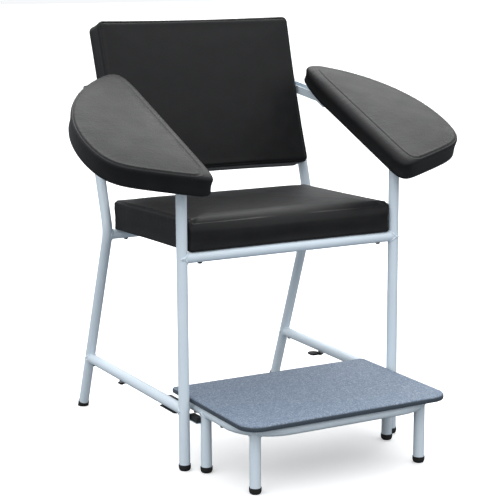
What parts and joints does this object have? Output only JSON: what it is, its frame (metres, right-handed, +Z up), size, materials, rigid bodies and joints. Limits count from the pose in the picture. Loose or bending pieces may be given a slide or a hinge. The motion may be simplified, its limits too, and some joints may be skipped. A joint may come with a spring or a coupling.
{
  "type": "phlebotomy chair",
  "caption": "Tubular steel blood-draw chair with padded seat and back, D-shaped arm pads that lift up, and a step that slides under the seat.",
  "frame": {"origin": "on the floor under the middle of the bounding box, between the left and right legs", "axes": "+Z up, -Y the way the sitter faces, +X to the right as seen from the front, which is the sitter's left; left and right in the node names are as seen from the front"},
  "size_m": [0.9546, 0.873, 0.9933],
  "materials": {
    "powder_coat": "light blue-grey powder coat, satin",
    "vinyl": "black upholstery vinyl, fine grain, satin",
    "backed_board": "plywood under a stapled black dust cloth",
    "black_rubber": "black rubber, matt",
    "black_plastic": "black nylon, matt",
    "grey_plastic": "light grey nylon, matt",
    "black_steel": "black oxide, satin",
    "zinc": "bright zinc",
    "step_covering": "speckled blue-grey sheet, matt",
    "step_core": "dark grey paint, satin"
  },
  "bodies": {
    "frame": {"left_front_leg": "powder_coat", "right_front_leg": "powder_coat", "left_rear_leg": "powder_coat", "right_rear_leg": "powder_coat", "left_side_rail": "powder_coat", "right_side_rail": "powder_coat", "front_seat_rail": "powder_coat", "rear_seat_rail": "powder_coat", "lower_back_rail": "powder_coat", "upper_back_rail": "powder_coat", "front_foot_plugs": "black_rubber", "rear_foot_plugs": "black_rubber", "upright_caps": "black_plastic", "arm_saddles": "grey_plastic", "seat_board": "backed_board", "seat_cushion": "vinyl", "seat_screws": "black_steel", "back_board": "backed_board", "back_cushion": "vinyl", "back_screws": "black_steel", "left_pivot_bolt": "black_steel", "right_pivot_bolt": "black_steel", "left_pivot_nut": "black_steel", "right_pivot_nut": "black_steel", "rail_guide_strips": "black_plastic", "rail_guide_screws": "black_steel", "rail_end_screws": "black_steel", "stop_arms": "black_steel", "stop_spacers": "zinc", "stop_discs": "black_rubber", "stop_screws": "black_steel"},
    "left_arm": {"left_arm_tube": "powder_coat", "left_arm_hinge_plates": "powder_coat", "left_arm_mount_plates": "powder_coat", "left_arm_board": "backed_board", "left_arm_pad": "vinyl", "left_arm_screws": "black_steel", "left_arm_tube_plugs": "black_plastic"},
    "right_arm": {"right_arm_tube": "powder_coat", "right_arm_hinge_plates": "powder_coat", "right_arm_mount_plates": "powder_coat", "right_arm_board": "backed_board", "right_arm_pad": "vinyl", "right_arm_screws": "black_steel", "right_arm_tube_plugs": "black_plastic"},
    "step": {"step_frame": "powder_coat", "step_legs": "powder_coat", "step_foot_plugs": "black_rubber", "step_board": "step_core", "step_mat": "step_covering", "step_screws": "black_steel", "step_guide_tabs": "powder_coat", "step_guide_blocks": "black_plastic"}
  },
  "joints": [
    {"name": "step_slide", "type": "slide", "parent": "frame", "child": "step", "axis": [0, 1, 0], "range_m": [0, 0.324]},
    {"name": "left_arm_lift", "type": "hinge", "parent": "frame", "child": "left_arm", "pos_m": [-0.2865, 0.32889, 0.81514], "axis": [-0.9999, -0.0131, 0], "range_deg": [0, 40]},
    {"name": "right_arm_lift", "type": "hinge", "parent": "frame", "child": "right_arm", "pos_m": [0.2865, 0.32889, 0.81514], "axis": [-0.9999, 0.0131, 0], "range_deg": [0, 40]}
  ]
}
